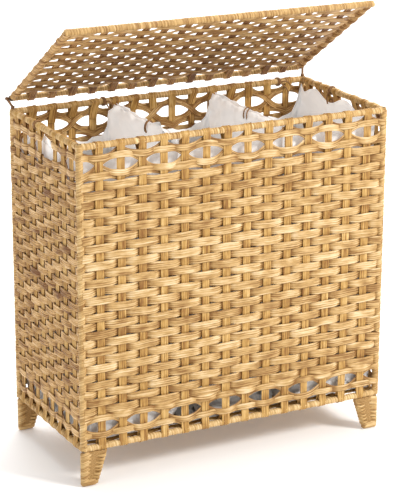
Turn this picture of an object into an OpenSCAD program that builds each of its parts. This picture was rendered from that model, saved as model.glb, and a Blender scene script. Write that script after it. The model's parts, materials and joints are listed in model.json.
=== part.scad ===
// Lidded woven laundry basket with three lined compartments.
// X runs along the front, Y from front to back, Z up. Millimetres.
// The origin is on the floor, midway across the width and midway between
// the front of the basket and the back of the hinge line.

/* [Basket] */
// Width over the corner posts
body_w = 660; // [520:5:820]
// Depth over the corner posts
body_d = 325; // [260:5:420]
// Height of the body, from the underside of its lower rim to its top rim
body_h = 600; // [460:5:740]
// Height of the feet under the body
foot_h = 70; // [40:1:110]

/* [Frame rods] */
// Radius of the posts and rim bars
rod_r = 4; // [3:0.5:5]
// Thickness of the strip wound round the posts and rim bars
wrap_t = 2.5; // [2:0.25:4]
// Radius of the bars under the floor
floor_bar_r = 3; // [2:0.5:4]
// Number of bars under the floor
floor_bar_count = 5; // [3:1:7]

/* [Woven walls] */
// Thickness of a woven wall
weave_t = 4.4; // [4:0.2:6]
// Width of an upright stake
stake_w = 17; // [11:1:20]
// Thickness of an upright stake
stake_t = 2.4; // [1.6:0.2:2.8]
// Number of stakes across the front, the back and the lid
long_stakes = 14; // [11:1:17]
// Number of stakes across each side
side_stakes = 8; // [7:1:9]
// Height of the openwork band at the top of a wall, without the gap under the rim
top_band_h = 53; // [44:1:70]
// Height of the openwork band at the foot of a wall, without the gap over the rim
bottom_band_h = 48; // [40:1:70]
// Height of the gap that the stakes cross under the top rim
top_gap = 8; // [4:1:14]
// Height of the gap that the stakes cross over the lower rim
bottom_gap = 12; // [6:1:18]
// Height of an opening in the openwork
hole_h = 22; // [14:1:30]
// Thickness of the woven floor
floor_t = 4.5; // [3:0.5:6]

/* [Handles] */
// Stake that each handle opening replaces, counted from the back
handle_stake = 5; // [4:1:5]
// Height of a handle opening, up to the rim
handle_h = 45; // [34:1:52]

/* [Feet] */
// Width of a foot where it meets the body
foot_top_w = 57; // [46:1:80]
// Width of a foot at the floor
foot_tip_w = 33; // [26:1:44]
// Thickness of a foot
foot_t = 15; // [12:1:20]
// Radius of the bent wire inside a foot
foot_wire_r = 2.5; // [2:0.5:3]
// Radius of the rounded tip corners of a foot
foot_round = 6; // [3:1:8]

/* [Lid] */
// Gap between each end of the lid and the outer face of the basket
lid_side_gap = 5; // [3:1:10]
// Angle of the lid above level as it stands open
lid_open = 33; // [20:1:60]
// Distance of the hinge line behind the centre of the back rim
hinge_back = 12; // [11:0.5:16]
// Height of the hinge line over the top of the basket
hinge_rise = 17; // [16:0.5:22]
// Radius of the wound front bar of the lid
lid_front_r = 7; // [6:0.5:11]
// Radius of the tube along the back of the lid
lid_tube_r = 5; // [4.5:0.25:6]
// Depth of the bare stakes between the lid's weave and its back bar
lid_bare = 11; // [6:1:16]
// Radius of the hinge arms and of the pins at their ends
pin_r = 2.5; // [2:0.25:3]
// Length of a hinge pin inside the lid's tube
pin_len = 20; // [12:1:40]
// Radial running clearance of a hinge pin
pin_gap = 0.08; // [0.04:0.01:0.1]

/* [Dividers and liners] */
// Distance of each divider from the middle of the basket
divider_x = 110; // [90:1:130]
// Radius of the wound divider bars and posts
divider_r = 4.9; // [4:0.1:6]
// Depth of a divider bar's centre below the top of the basket
divider_drop = 25; // [20:1:40]
// Thickness of a liner's cloth
liner_t = 1.5; // [1:0.25:3]
// Gap between a liner and the dividers and posts beside it
liner_gap = 2; // [1:0.5:5]
// Depth of a liner's top edge below the top of the basket
liner_drop = 32; // [30:1:60]
// Radius of the cords that tie the liners
cord_r = 1.5; // [1:0.25:2]

/* [Hidden] */
$fn = 32;
fit = 0.05;
cut = 1;
small_gap = 0.3;
// Round ends and corners of rods, and how far wires cross, as multiples of their radius
hinge_ball = 1.5;
corner_ball = 1.06;
wire_over = 1.2;
hinge_foot_h = 4;
wrap_r = rod_r + wrap_t;
top_z = foot_h + body_h;
low_rim_z = foot_h + wrap_r;
top_rim_z = top_z - wrap_r;
post_x = body_w / 2 - wrap_r;
post_y = body_d / 2 - wrap_r;
corners = [[-1, -1], [1, -1], [-1, 1], [1, 1]];

// A wall is drawn with its outer face on y = 0 and its weave set in by this much.
weave_in = 0.8;
stake_in = weave_in + (weave_t - stake_t) / 2;
weave_lo = foot_h + 2 * wrap_r + bottom_gap + bottom_band_h;
weave_hi = top_z - 2 * wrap_r - top_gap - top_band_h;
sill_z = top_rim_z - wrap_r - handle_h;

floor_z = low_rim_z + floor_bar_r;
liner_lo = floor_z + floor_t + liner_gap;
liner_hi = top_z - liner_drop;
liner_y = post_y - wrap_r - liner_gap + 0.5;
liner_end = post_x - wrap_r - 1;
liner_side = divider_x + divider_r + liner_gap;
liner_mid = divider_x - divider_r - liner_gap;
divider_z = top_z - divider_drop;
divider_y = body_d / 2 - weave_in - weave_t - divider_r;

hinge_y = post_y + hinge_back;
hinge_z = top_z + hinge_rise;
lid_w = body_w - 2 * lid_side_gap;
lid_len = hinge_y + post_y;
lid_rod_x = lid_w / 2 - wrap_r;
lid_wrap_r = lid_tube_r + 1.5;
arm_x = body_w / 2 + 0.5;

back_overhang = hinge_y + lid_wrap_r - body_d / 2;
middle_y = -back_overhang / 2;

reed = [0.83, 0.66, 0.4];
reed_light = [0.88, 0.73, 0.48];
reed_dark = [0.68, 0.5, 0.28];
wire = [0.35, 0.3, 0.25];
cloth = [0.95, 0.95, 0.94];
cord = [0.42, 0.27, 0.13];

function pitch(len, count) = len / (count + 1);
function stake_x(len, count, i) = -len / 2 + i * pitch(len, count);
function side_y(i) = body_d / 2 - i * pitch(body_d, side_stakes);

// ---- placing ----

module in_basket() translate([0, middle_y, 0]) children();

module on_front() translate([0, -body_d / 2, 0]) children();

module on_back() mirror([0, 1, 0]) on_front() children();

module on_left() rotate(-90) translate([0, -body_w / 2, 0]) children();

module on_right() mirror([1, 0, 0]) on_left() children();

// Everything at a corner is drawn at the front left one and mirrored to the others
module at_corner(c) {
    mirror([c.x > 0 ? 1 : 0, 0, 0])
        mirror([0, c.y > 0 ? 1 : 0, 0])
            children();
}

module in_lid() translate([0, hinge_y, hinge_z]) rotate([-lid_open, 0, 0]) children();

// ---- rods ----

// A straight round bar between two points
module bar(a, b, r) {
    d = b - a;
    len = norm(d);
    translate(a)
        rotate([0, acos(d.z / len), atan2(d.y, d.x)])
            cylinder(h = len, r = r);
}

module upright(r, z0, z1) translate([0, 0, z0]) cylinder(h = z1 - z0, r = r);

module bar_x(len, r) rotate([0, 90, 0]) cylinder(h = len, r = r, center = true);

module bar_y(len, r) rotate([90, 0, 0]) cylinder(h = len, r = r, center = true);

// The four bars of a rim, from post centre to post centre
module rim_lines(z, r, extra = 0) {
    for (s = [-1, 1]) {
        translate([0, s * post_y, z]) bar_x(2 * post_x + extra, r);
        translate([s * post_x, 0, z]) bar_y(2 * post_y + extra, r);
    }
}

module corner_upright(r, z0, z1) translate([-post_x, -post_y, 0]) upright(r, z0, z1);

module all_posts(r) for (c = corners) at_corner(c) corner_upright(r, foot_h - cut, top_z + cut);

module rim(z) {
    difference() {
        rim_lines(z, rod_r);
        all_posts(rod_r + fit);
    }
}

module rim_wrap(z) {
    difference() {
        rim_lines(z, wrap_r);
        rim_lines(z, rod_r + fit, 2 * wrap_r);
        all_posts(wrap_r + fit);
    }
}

module post(c) at_corner(c) corner_upright(rod_r, foot_h, top_z);

module post_wrap(c) {
    at_corner(c)
        difference() {
            corner_upright(wrap_r, foot_h, top_z);
            corner_upright(rod_r + fit, foot_h - cut, top_z + cut);
            for (z = [low_rim_z, top_rim_z]) {
                translate([-post_x, -post_y, z]) rotate([0, 90, 0]) cylinder(h = 2 * wrap_r, r = rod_r + 2 * fit);
                translate([-post_x, -post_y, z]) rotate([-90, 0, 0]) cylinder(h = 2 * wrap_r, r = rod_r + 2 * fit);
            }
        }
}

// ---- walls, drawn with the outer face on y = 0 ----

module wall_rims(len) {
    for (z = [low_rim_z, top_rim_z]) translate([0, wrap_r, z]) bar_x(len, wrap_r);
}

module wall_stakes(len, count, short = 0) {
    difference() {
        for (i = [1 : count])
            translate([stake_x(len, count, i) - stake_w / 2, stake_in, low_rim_z])
                cube([stake_w, stake_t, (i == short ? sill_z : top_rim_z) - low_rim_z]);
        wall_rims(len);
    }
}

module stake_channels(len, count) {
    for (i = [1 : count])
        translate([stake_x(len, count, i) - stake_w / 2 - fit, stake_in - fit, 0])
            cube([stake_w + 2 * fit, stake_t + 2 * fit, top_z]);
}

module slab(len, z0, z1) {
    w = len - 4 * wrap_r;
    translate([-w / 2, weave_in, z0]) cube([w, weave_t, z1 - z0]);
}

module wall_weave(len, count) {
    difference() {
        slab(len, weave_lo, weave_hi);
        stake_channels(len, count);
    }
}

// Six-sided opening round a stake, clipped short of the corner posts
module openwork_hole(len, count, i, z) {
    half_w = pitch(len, count) - stake_w / 2 - 3;
    half_h = hole_h / 2;
    limit = len / 2 - 2 * wrap_r - 4;
    intersection() {
        translate([stake_x(len, count, i), weave_t + 2, z])
            rotate([90, 0, 0])
                linear_extrude(weave_t + 4)
                    polygon([[-half_w, 0], [2 - stake_w / 2, -half_h], [stake_w / 2 - 2, -half_h],
                             [half_w, 0], [stake_w / 2 - 2, half_h], [2 - stake_w / 2, half_h]]);
        translate([-limit, -cut, z - hole_h]) cube([2 * limit, weave_t + 4, 2 * hole_h]);
    }
}

module openwork(len, count, first, z0, z1) {
    difference() {
        slab(len, z0, z1);
        stake_channels(len, count);
        for (i = [first : 2 : count]) openwork_hole(len, count, i, (z0 + z1) / 2);
    }
}

module top_openwork(len, count, first) openwork(len, count, first, weave_hi + fit, weave_hi + top_band_h);

module low_openwork(len, count) openwork(len, count, 1, weave_lo - bottom_band_h, weave_lo - fit);

// Space between the stakes beside a handle opening, from z0 up
module handle_space(z0, extra = 0) {
    gap = 2 * pitch(body_d, side_stakes) - stake_w - 2 + 2 * extra;
    translate([stake_x(body_d, side_stakes, handle_stake) - gap / 2, -cut, z0])
        cube([gap, weave_t + 4, top_z - z0]);
}

module side_weave() {
    difference() {
        union() {
            wall_weave(body_d, side_stakes);
            intersection() {
                slab(body_d, weave_hi - cut, sill_z);
                handle_space(weave_hi - cut);
            }
        }
        stake_channels(body_d, side_stakes);
    }
}

module side_top_openwork() {
    difference() {
        top_openwork(body_d, side_stakes, 2);
        handle_space(0, fit);
    }
}

// ---- floor ----

module floor_bars() {
    span = 2 * post_x / (floor_bar_count + 1);
    color(wire)
        difference() {
            for (i = [1 : floor_bar_count])
                translate([-post_x + i * span, 0, low_rim_z]) bar_y(2 * post_y, floor_bar_r);
            rim_lines(low_rim_z, wrap_r);
        }
}

module floor_weave() {
    w = 2 * (post_x - wrap_r) - 1;
    d = 2 * (post_y - wrap_r) - 0.4;
    color(reed_dark) translate([-w / 2, -d / 2, floor_z]) cube([w, d, floor_t]);
}

// ---- feet, drawn for the front left corner with the foot's outer top corner at the origin ----

module at_foot(c) at_corner(c) translate([-body_w / 2, -body_d / 2, 0]) children();

// Three straight runs that cross at the bends: down the outer edge, along the tip, and up
// the slanted inner edge to just short of the rim bar.
module foot_wire_shape(r) {
    slope = (foot_top_w - foot_tip_w) / foot_h;
    run = [slope, 0, 1] / norm([slope, 0, 1]);
    end_z = foot_h + wrap_t - foot_wire_r * run.x - small_gap + r - foot_wire_r;
    over = wire_over * r;
    inner = [foot_tip_w - wrap_r, wrap_r, wrap_r];
    translate([wrap_r, wrap_r, 0]) upright(r, wrap_r - over, foot_h);
    bar([wrap_r - over, wrap_r, wrap_r], inner + [over, 0, 0], r);
    bar(inner - over * run, inner + (end_z - inner.z) / run.z * run, r);
}

module foot_wire(c) color(wire) at_foot(c) foot_wire_shape(foot_wire_r);

module foot_outline() {
    slope = (foot_top_w - foot_tip_w) / foot_h;
    r = foot_round;
    polygon([[0, foot_h], [0, r], [r, 0], [foot_tip_w - r, 0],
             [foot_tip_w + r * slope, r], [foot_top_w, foot_h]]);
    translate([r, r]) circle(r = r);
    translate([foot_tip_w - r, r]) circle(r = r);
}

module foot(c) {
    color(reed_light)
        at_foot(c)
            difference() {
                translate([0, foot_t, 0])
                    rotate([90, 0, 0])
                        linear_extrude(foot_t)
                            foot_outline();
                foot_wire_shape(foot_wire_r + fit);
            }
}

module lower_rim_wrap() {
    color(reed_light)
        difference() {
            rim_wrap(low_rim_z);
            for (c = corners) at_foot(c) foot_wire_shape(foot_wire_r + fit);
        }
}

// ---- dividers and liners ----

module divider_bar(side) {
    color(reed_dark)
        difference() {
            translate([side * divider_x, 0, divider_z]) bar_y(2 * divider_y, divider_r);
            divider_uprights(side, divider_r + fit);
        }
}

module divider_uprights(side, r) {
    for (s = [-1, 1])
        translate([side * divider_x, s * divider_y, 0])
            upright(r, floor_z + floor_t, top_z - 2 * wrap_r - 1);
}

module liner(x0, x1) {
    color(cloth)
        difference() {
            translate([x0, -liner_y, liner_lo]) cube([x1 - x0, 2 * liner_y, liner_hi - liner_lo]);
            translate([x0 + liner_t, -liner_y + liner_t, liner_lo + liner_t])
                cube([x1 - x0 - 2 * liner_t, 2 * (liner_y - liner_t), liner_hi]);
        }
}

// Cord loop round a bar along X, with a tail down to a liner's top edge on its front side
module tie(bar_r, tail) {
    loop_r = bar_r + small_gap + cord_r;
    rotate([0, 90, 0]) rotate_extrude() translate([loop_r, 0]) circle(r = cord_r);
    translate([0, -loop_r, -tail]) cylinder(h = tail, r = 0.9 * cord_r);
}

module back_tie(x) translate([x, post_y, top_rim_z]) tie(wrap_r, top_rim_z - liner_hi);

module side_tie(side, y) {
    translate([side * post_x, y, top_rim_z])
        rotate(-90 * side)
            tie(wrap_r, top_rim_z - liner_hi);
}

// A tie round a divider bar, with its tail on the middle liner's side
module divider_tie(side) {
    translate([side * divider_x, 0, divider_z])
        rotate(-90 * side)
            tie(divider_r, divider_z - liner_hi);
}

// Ties on the rim sit midway between two stakes
function gap_x(i) = stake_x(body_w, long_stakes, i) + pitch(body_w, long_stakes) / 2;
function gap_y(i) = side_y(i) - pitch(body_d, side_stakes) / 2;

// ---- hinge ----

// A slanted rod on top of a back post, with a round foot, a round end and a pin into the lid's tube
module hinge_arm() {
    eye = [arm_x, hinge_y, hinge_z];
    color(cord)
        union() {
            translate([post_x, post_y, 0]) upright(hinge_ball * pin_r, top_z, top_z + hinge_foot_h);
            bar([post_x, post_y, top_z + hinge_foot_h / 2], eye, pin_r);
            translate(eye) sphere(r = hinge_ball * pin_r);
            bar([lid_w / 2 - pin_len, hinge_y, hinge_z], eye, pin_r);
        }
}

// ---- lid, drawn level with the hinge line on the X axis and the lid towards -Y ----

module lid_side_rods(r) {
    for (s = [-1, 1]) bar([s * lid_rod_x, 0, 0], [s * lid_rod_x, -lid_len, 0], r);
}

module lid_front_rod(r) {
    translate([0, -lid_len, 0]) bar_x(2 * lid_rod_x, r);
    for (s = [-1, 1]) translate([s * lid_rod_x, -lid_len, 0]) sphere(r = corner_ball * r);
}

module lid_frame() {
    color(wire)
        difference() {
            union() {
                bar_x(lid_w, lid_tube_r);
                lid_side_rods(rod_r);
                lid_front_rod(rod_r);
            }
            for (s = [-1, 1])
                translate([s * lid_w / 2, 0, 0]) bar_x(2 * pin_len + 2, pin_r + pin_gap);
        }
}

module lid_front_wrap() {
    color(reed_light)
        difference() {
            translate([0, -lid_len, 0]) bar_x(lid_w, lid_front_r);
            lid_front_rod(rod_r + fit);
            lid_side_rods(rod_r + fit);
        }
}

module lid_back_wrap() {
    color(reed_light)
        difference() {
            bar_x(lid_w, lid_wrap_r);
            bar_x(lid_w + 2, lid_tube_r + fit);
            lid_side_rods(rod_r + fit);
        }
}

module lid_side_wrap(side) {
    color(reed_light)
        difference() {
            bar([side * lid_rod_x, 0, 0], [side * lid_rod_x, -lid_len, 0], wrap_r);
            lid_side_rods(rod_r + fit);
            bar_x(lid_w + 2, lid_wrap_r);
            translate([0, -lid_len, 0]) bar_x(lid_w + 2, lid_front_r);
        }
}

module lid_stakes() {
    color(reed)
        difference() {
            for (i = [1 : long_stakes])
                translate([stake_x(lid_w, long_stakes, i) - stake_w / 2, -lid_len, -stake_t / 2])
                    cube([stake_w, lid_len, stake_t]);
            bar_x(lid_w + 2, lid_wrap_r);
            translate([0, -lid_len, 0]) bar_x(lid_w + 2, lid_front_r);
        }
}

module lid_weave() {
    y0 = -lid_len + lid_front_r + 1;
    y1 = -lid_wrap_r - lid_bare;
    w = lid_w - 4 * wrap_r;
    color(reed)
        difference() {
            translate([-w / 2, y0, -weave_t / 2]) cube([w, y1 - y0, weave_t]);
            for (i = [1 : long_stakes])
                translate([stake_x(lid_w, long_stakes, i) - stake_w / 2 - fit, -lid_len, -stake_t / 2 - fit])
                    cube([stake_w + 2 * fit, lid_len, stake_t + 2 * fit]);
        }
}

// ---- nodes ----

in_basket() color(wire) rim(top_rim_z);  // top_rim
in_basket() color(wire) rim(low_rim_z);  // lower_rim
in_basket() color(reed_light) rim_wrap(top_rim_z);  // top_rim_wrap
in_basket() lower_rim_wrap();
in_basket() color(wire) post([-1, -1]);  // front_left_post
in_basket() color(wire) post([1, -1]);  // front_right_post
in_basket() color(wire) post([-1, 1]);  // back_left_post
in_basket() color(wire) post([1, 1]);  // back_right_post
in_basket() color(reed_light) post_wrap([-1, -1]);  // front_left_post_wrap
in_basket() color(reed_light) post_wrap([1, -1]);  // front_right_post_wrap
in_basket() color(reed_light) post_wrap([-1, 1]);  // back_left_post_wrap
in_basket() color(reed_light) post_wrap([1, 1]);  // back_right_post_wrap

in_basket() on_front() color(reed_dark) wall_stakes(body_w, long_stakes);  // front_stakes
in_basket() on_back() color(reed_dark) wall_stakes(body_w, long_stakes);  // back_stakes
in_basket() on_left() color(reed_dark) wall_stakes(body_d, side_stakes, handle_stake);  // left_stakes
in_basket() on_right() color(reed_dark) wall_stakes(body_d, side_stakes, handle_stake);  // right_stakes
in_basket() on_front() color(reed) wall_weave(body_w, long_stakes);  // front_weave
in_basket() on_back() color(reed) wall_weave(body_w, long_stakes);  // back_weave
in_basket() on_left() color(reed) side_weave();  // left_weave
in_basket() on_right() color(reed) side_weave();  // right_weave
in_basket() on_front() color(reed_light) top_openwork(body_w, long_stakes, 2);  // front_top_openwork
in_basket() on_back() color(reed_light) top_openwork(body_w, long_stakes, 2);  // back_top_openwork
in_basket() on_left() color(reed_light) side_top_openwork();  // left_top_openwork
in_basket() on_right() color(reed_light) side_top_openwork();  // right_top_openwork
in_basket() on_front() color(reed_light) low_openwork(body_w, long_stakes);  // front_low_openwork
in_basket() on_back() color(reed_light) low_openwork(body_w, long_stakes);  // back_low_openwork
in_basket() on_left() color(reed_light) low_openwork(body_d, side_stakes);  // left_low_openwork
in_basket() on_right() color(reed_light) low_openwork(body_d, side_stakes);  // right_low_openwork

in_basket() floor_bars();
in_basket() floor_weave();
in_basket() foot_wire([-1, -1]);  // front_left_foot_wire
in_basket() foot_wire([1, -1]);  // front_right_foot_wire
in_basket() foot_wire([-1, 1]);  // back_left_foot_wire
in_basket() foot_wire([1, 1]);  // back_right_foot_wire
in_basket() foot([-1, -1]);  // front_left_foot
in_basket() foot([1, -1]);  // front_right_foot
in_basket() foot([-1, 1]);  // back_left_foot
in_basket() foot([1, 1]);  // back_right_foot

in_basket() divider_bar(-1);  // left_divider_bar
in_basket() divider_bar(1);  // right_divider_bar
in_basket() color(reed_dark) divider_uprights(-1, divider_r);  // left_divider_posts
in_basket() color(reed_dark) divider_uprights(1, divider_r);  // right_divider_posts
in_basket() liner(-liner_end, -liner_side);  // left_liner
in_basket() liner(-liner_mid, liner_mid);  // middle_liner
in_basket() liner(liner_side, liner_end);  // right_liner
in_basket() color(cord) { back_tie(gap_x(4)); side_tie(-1, gap_y(3)); }  // left_liner_ties
in_basket() color(cord) { divider_tie(-1); divider_tie(1); }  // middle_liner_ties
in_basket() color(cord) { back_tie(gap_x(13)); side_tie(1, gap_y(3)); }  // right_liner_ties

in_basket() mirror([1, 0, 0]) hinge_arm();  // left_hinge_arm
in_basket() hinge_arm();  // right_hinge_arm
in_basket() in_lid() lid_frame();
in_basket() in_lid() lid_stakes();
in_basket() in_lid() lid_weave();
in_basket() in_lid() lid_front_wrap();
in_basket() in_lid() lid_back_wrap();
in_basket() in_lid() lid_side_wrap(-1);  // lid_left_wrap
in_basket() in_lid() lid_side_wrap(1);  // lid_right_wrap
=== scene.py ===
import json
import math

import bpy
import numpy as np
from mathutils import Matrix, Vector


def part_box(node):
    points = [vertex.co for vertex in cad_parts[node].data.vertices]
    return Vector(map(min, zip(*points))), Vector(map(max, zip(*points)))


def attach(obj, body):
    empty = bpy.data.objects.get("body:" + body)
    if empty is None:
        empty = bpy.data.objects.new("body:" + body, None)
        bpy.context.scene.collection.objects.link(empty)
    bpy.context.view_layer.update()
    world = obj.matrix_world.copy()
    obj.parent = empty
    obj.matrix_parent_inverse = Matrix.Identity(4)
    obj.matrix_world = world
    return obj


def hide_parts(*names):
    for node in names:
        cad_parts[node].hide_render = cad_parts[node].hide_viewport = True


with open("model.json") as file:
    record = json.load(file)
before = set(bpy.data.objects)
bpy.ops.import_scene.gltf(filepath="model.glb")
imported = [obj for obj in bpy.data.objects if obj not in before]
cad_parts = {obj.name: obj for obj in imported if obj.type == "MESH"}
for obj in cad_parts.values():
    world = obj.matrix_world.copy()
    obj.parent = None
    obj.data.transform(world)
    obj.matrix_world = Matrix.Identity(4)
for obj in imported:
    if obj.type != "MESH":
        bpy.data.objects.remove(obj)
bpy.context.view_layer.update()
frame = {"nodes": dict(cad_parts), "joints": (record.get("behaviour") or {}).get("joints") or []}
rng = np.random.default_rng(7)

MM = 0.001

# ---- camera ----

CAMERA_PLACE = (-1.7067, -3.2844, 1.5479)
CAMERA_YAW, CAMERA_PITCH, CAMERA_ROLL = 27.585, 17.482, 0.219
CAMERA_LENS = 141.77


def add_camera():
    data = bpy.data.cameras.new("camera")
    cam = bpy.data.objects.new("camera", data)
    bpy.context.scene.collection.objects.link(cam)
    yaw, pitch, roll = (math.radians(a) for a in (CAMERA_YAW, CAMERA_PITCH, CAMERA_ROLL))
    look = Vector((math.sin(yaw) * math.cos(pitch), math.cos(yaw) * math.cos(pitch), -math.sin(pitch)))
    right = Vector((math.cos(yaw), -math.sin(yaw), 0))
    up = right.cross(look)
    right, up = (math.cos(roll) * right + math.sin(roll) * up, math.cos(roll) * up - math.sin(roll) * right)
    turn = Matrix((right, up, -look)).transposed()
    cam.matrix_world = Matrix.Translation(CAMERA_PLACE) @ turn.to_4x4()
    data.lens = CAMERA_LENS
    data.sensor_width = 36.0
    data.clip_end = 60.0
    bpy.context.scene.camera = cam


# ---- materials ----


def new_material(name):
    mat = bpy.data.materials.new(name)
    mat.use_nodes = True
    nodes, links = mat.node_tree.nodes, mat.node_tree.links
    return mat, nodes, links, nodes["Principled BSDF"]


def ramp(nodes, stops):
    node = nodes.new("ShaderNodeValToRGB")
    band = node.color_ramp
    while len(band.elements) < len(stops):
        band.elements.new(0.5)
    for element, (at, colour) in zip(band.elements, stops):
        element.position = at
        element.color = (*colour, 1.0)
    return node


def math_node(nodes, links, kind, a, b):
    node = nodes.new("ShaderNodeMath")
    node.operation = kind
    for socket, value in zip(node.inputs, (a, b)):
        if isinstance(value, (int, float)):
            socket.default_value = value
        else:
            links.new(value, socket)
    return node.outputs[0]


REED_ROUGH, ROUGH_SPREAD = 0.55, 0.12
FIBRE_SHARE = 0.62


def reed_material(name, dark, mid, light, tone_and_shade_share):
    """Dried flat strip: fine fibres along its length, soft blotches of colour and a faint waxy sheen."""
    mat, nodes, links, shader = new_material(name)
    uv = nodes.new("ShaderNodeUVMap")
    uv.uv_map = "UVMap"
    tone_and_shade = nodes.new("ShaderNodeAttribute")
    tone_and_shade.attribute_name = "tone_and_shade"
    fibres = nodes.new("ShaderNodeMapping")
    fibres.inputs["Scale"].default_value = (14.0, 420.0, 1.0)
    links.new(uv.outputs["UV"], fibres.inputs["Vector"])
    lines = nodes.new("ShaderNodeTexNoise")
    lines.inputs["Scale"].default_value = 1.0
    lines.inputs["Detail"].default_value = 4.0
    lines.inputs["Roughness"].default_value = 0.65
    links.new(fibres.outputs["Vector"], lines.inputs["Vector"])
    blotch_map = nodes.new("ShaderNodeMapping")
    blotch_map.inputs["Scale"].default_value = (30.0, 60.0, 1.0)
    links.new(uv.outputs["UV"], blotch_map.inputs["Vector"])
    blotch = nodes.new("ShaderNodeTexNoise")
    blotch.inputs["Scale"].default_value = 1.0
    blotch.inputs["Detail"].default_value = 2.0
    links.new(blotch_map.outputs["Vector"], blotch.inputs["Vector"])
    fibre_part = math_node(nodes, links, "MULTIPLY", lines.outputs["Fac"], FIBRE_SHARE)
    blotch_part = math_node(nodes, links, "MULTIPLY", blotch.outputs["Fac"], 1 - FIBRE_SHARE)
    mixed = math_node(nodes, links, "ADD", fibre_part, blotch_part)
    # The per-vertex attribute read here shifts the colour: a random tone per strip plus painted shade from
    # the strips' shade values and grooves.
    shift = math_node(nodes, links, "MULTIPLY", tone_and_shade.outputs["Fac"], tone_and_shade_share)
    mixed = math_node(nodes, links, "ADD", mixed, shift)
    colours = ramp(nodes, [(0.37, dark), (0.50, mid), (0.63, light)])
    links.new(mixed, colours.inputs["Fac"])
    links.new(colours.outputs["Color"], shader.inputs["Base Color"])
    rough_range = nodes.new("ShaderNodeMapRange")
    rough_range.inputs["To Min"].default_value = REED_ROUGH + ROUGH_SPREAD
    rough_range.inputs["To Max"].default_value = REED_ROUGH - ROUGH_SPREAD
    links.new(lines.outputs["Fac"], rough_range.inputs["Value"])
    links.new(rough_range.outputs["Result"], shader.inputs["Roughness"])
    bump = nodes.new("ShaderNodeBump")
    bump.inputs["Strength"].default_value = 0.8
    bump.inputs["Distance"].default_value = 0.0012
    links.new(lines.outputs["Fac"], bump.inputs["Height"])
    links.new(bump.outputs["Normal"], shader.inputs["Normal"])
    shader.inputs["Specular IOR Level"].default_value = 0.35
    shader.inputs["Coat Weight"].default_value = 0.06
    shader.inputs["Coat Roughness"].default_value = 0.35
    return mat


def cloth_material():
    """Plain white cotton: a fine square weave with soft uneven shading, and a painted glow that brightens it
    towards the top.
    """
    mat, nodes, links, shader = new_material("white_cotton")
    place = nodes.new("ShaderNodeTexCoord")
    bumps = []
    for axis in ("X", "Z"):
        wave = nodes.new("ShaderNodeTexWave")
        wave.bands_direction = axis
        wave.inputs["Scale"].default_value = 320.0
        wave.inputs["Distortion"].default_value = 0.6
        links.new(place.outputs["Object"], wave.inputs["Vector"])
        bumps.append(wave.outputs["Fac"])
    weave = math_node(nodes, links, "MULTIPLY", bumps[0], bumps[1])
    cloud = nodes.new("ShaderNodeTexNoise")
    cloud.inputs["Scale"].default_value = 28.0
    cloud.inputs["Detail"].default_value = 3.0
    links.new(place.outputs["Object"], cloud.inputs["Vector"])
    colours = ramp(nodes, [(0.3, (0.84, 0.82, 0.80)), (0.7, (0.92, 0.905, 0.89))])
    links.new(cloud.outputs["Fac"], colours.inputs["Fac"])
    links.new(colours.outputs["Color"], shader.inputs["Base Color"])
    bump = nodes.new("ShaderNodeBump")
    bump.inputs["Strength"].default_value = 0.25
    bump.inputs["Distance"].default_value = 0.0004
    links.new(weave, bump.inputs["Height"])
    links.new(bump.outputs["Normal"], shader.inputs["Normal"])
    shader.inputs["Roughness"].default_value = 0.85
    shader.inputs["Sheen Weight"].default_value = 0.25
    shader.inputs["Sheen Roughness"].default_value = 0.5
    shader.inputs["Specular IOR Level"].default_value = 0.2
    shader.inputs["Subsurface Weight"].default_value = 0.12
    shader.inputs["Subsurface Radius"].default_value = (0.01, 0.01, 0.01)
    shader.inputs["Subsurface Scale"].default_value = 0.3
    # Painted light: an emission glow that rises with height, standing in for light coming through the cloth
    # near its top edge.
    height = nodes.new("ShaderNodeSeparateXYZ")
    links.new(place.outputs["Object"], height.inputs["Vector"])
    painted_glow = ramp(nodes, [(0.56, (0, 0, 0)), (0.61, (1.0, 0.97, 0.95))])
    links.new(height.outputs["Z"], painted_glow.inputs["Fac"])
    links.new(painted_glow.outputs["Color"], shader.inputs["Emission Color"])
    shader.inputs["Emission Strength"].default_value = 0.27
    return mat


def cord_material():
    """Thin dark twisted cord."""
    mat, nodes, links, shader = new_material("brown_cord")
    place = nodes.new("ShaderNodeTexCoord")
    noise = nodes.new("ShaderNodeTexNoise")
    noise.inputs["Scale"].default_value = 420.0
    noise.inputs["Detail"].default_value = 3.0
    links.new(place.outputs["Object"], noise.inputs["Vector"])
    colours = ramp(nodes, [(0.35, (0.17, 0.075, 0.025)), (0.65, (0.36, 0.19, 0.07))])
    links.new(noise.outputs["Fac"], colours.inputs["Fac"])
    links.new(colours.outputs["Color"], shader.inputs["Base Color"])
    bump = nodes.new("ShaderNodeBump")
    bump.inputs["Strength"].default_value = 0.4
    bump.inputs["Distance"].default_value = 0.0005
    links.new(noise.outputs["Fac"], bump.inputs["Height"])
    links.new(bump.outputs["Normal"], shader.inputs["Normal"])
    shader.inputs["Roughness"].default_value = 0.6
    return mat


def wire_material(name, dark, light, metal):
    """Drawn wire with a thin brown coat, dulled in patches."""
    mat, nodes, links, shader = new_material(name)
    place = nodes.new("ShaderNodeTexCoord")
    noise = nodes.new("ShaderNodeTexNoise")
    noise.inputs["Scale"].default_value = 90.0
    noise.inputs["Detail"].default_value = 4.0
    links.new(place.outputs["Object"], noise.inputs["Vector"])
    colours = ramp(nodes, [(0.35, dark), (0.65, light)])
    links.new(noise.outputs["Fac"], colours.inputs["Fac"])
    links.new(colours.outputs["Color"], shader.inputs["Base Color"])
    rough = nodes.new("ShaderNodeMapRange")
    rough.inputs["To Min"].default_value = 0.35
    rough.inputs["To Max"].default_value = 0.6
    links.new(noise.outputs["Fac"], rough.inputs["Value"])
    links.new(rough.outputs["Result"], shader.inputs["Roughness"])
    shader.inputs["Metallic"].default_value = metal
    return mat


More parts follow.
